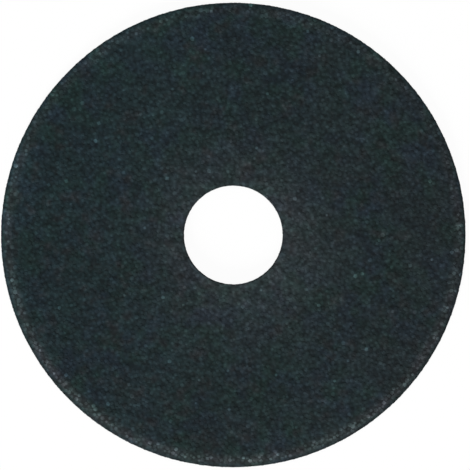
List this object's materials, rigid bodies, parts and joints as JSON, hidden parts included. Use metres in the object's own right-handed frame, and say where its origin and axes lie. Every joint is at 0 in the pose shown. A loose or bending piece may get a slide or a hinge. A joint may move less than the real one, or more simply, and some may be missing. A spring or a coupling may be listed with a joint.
{
  "type": "cut-off wheel",
  "caption": "Thin flat round abrasive cutting disc with a plain central bore, clamped between flanges on a grinder spindle to part off metal.",
  "frame": {"origin": "centre of the bore, in the plane of the lower face that the wheel lies on", "axes": "+Z along the spin axis, up out of the upper face; +X and +Y in the plane of the lower face"},
  "size_m": [0.105, 0.105, 0.0016],
  "materials": {
    "bonded_abrasive": "matte"
  },
  "bodies": {
    "root": {"cutting_disc": "bonded_abrasive"}
  },
  "joints": []
}
